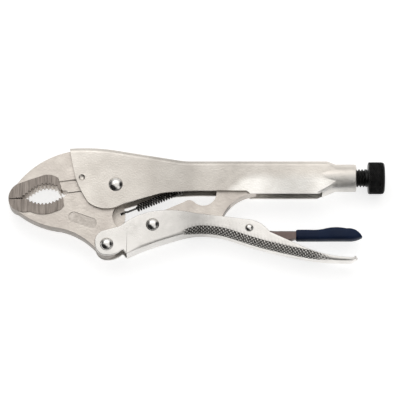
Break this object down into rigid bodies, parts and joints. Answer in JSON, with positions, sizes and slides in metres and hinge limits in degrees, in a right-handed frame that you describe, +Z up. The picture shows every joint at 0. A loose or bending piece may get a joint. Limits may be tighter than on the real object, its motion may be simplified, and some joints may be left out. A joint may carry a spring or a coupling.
{
  "type": "locking pliers",
  "caption": "Curved-jaw locking pliers with toothed jaws, a wire cutter, a toggle lock, an adjusting screw and a sleeved release lever.",
  "frame": {"origin": "on the jaw pivot's axis, on the plane that the tool rests on when it lies on its side (the flat tail of the jaw pivot rivet)", "axes": "+X from the jaws to the adjusting knob, +Y from the lower handle to the upper handle, +Z up through the tool's thickness"},
  "size_m": [0.248, 0.0766, 0.0212],
  "materials": {
    "nickel_sheet": "satin nickel plate over pressed steel sheet, faint pitting",
    "nickel_forged": "satin nickel plate over forged steel, slightly grainy",
    "rivet_steel": "bright polished dome",
    "spring_wire": "dark bright spring wire",
    "lever_steel": "dull plated steel",
    "blue_vinyl": "dipped dark blue vinyl, soft sheen",
    "black_oxide": "black oxide steel, knurled"
  },
  "bodies": {
    "fixed_frame": {"upper_handle": "nickel_sheet", "fixed_jaw": "nickel_forged", "spring_anchor": "nickel_sheet", "extension_spring": "spring_wire", "jaw_pivot_rivet": "rivet_steel"},
    "moving_jaw": {"lower_jaw": "nickel_forged"},
    "hand_lever": {"lower_handle": "nickel_sheet", "handle_pivot_rivet": "rivet_steel", "link_pivot_rivet": "rivet_steel", "lever_pivot_rivet": "rivet_steel"},
    "toggle": {"toggle_link": "nickel_forged"},
    "release": {"release_lever": "lever_steel", "lever_sleeve": "blue_vinyl"},
    "screw": {"adjusting_screw": "black_oxide", "adjusting_knob": "black_oxide"}
  },
  "joints": [
    {"name": "jaw_pivot", "type": "hinge", "parent": "fixed_frame", "child": "moving_jaw", "pos_m": [0, 0, 0.0106], "axis": [0, 0, 1], "range_deg": [0, 22], "deforming": ["extension_spring"]},
    {"name": "handle_pivot", "type": "hinge", "parent": "moving_jaw", "child": "hand_lever", "pos_m": [-0.0057, -0.0403, 0.0106], "axis": [0, 0, 1], "range_deg": [-66, 0]},
    {"name": "link_pivot", "type": "hinge", "parent": "hand_lever", "child": "toggle", "pos_m": [0.0243, -0.0271, 0.0106], "axis": [0, 0, 1], "range_deg": [0, 65.12]},
    {"name": "release_pivot", "type": "hinge", "parent": "hand_lever", "child": "release", "pos_m": [0.0878, -0.0294, 0.0106], "axis": [0, 0, 1], "range_deg": [-6, 0]},
    {"name": "screw_travel", "type": "slide", "parent": "fixed_frame", "child": "screw", "axis": [1, 0, 0], "range_m": [0, 0.018]}
  ],
  "couplings": [
    {"joint": "handle_pivot", "follows": "jaw_pivot", "ratio": -3},
    {"joint": "link_pivot", "follows": "jaw_pivot", "ratio": 2.96}
  ]
}
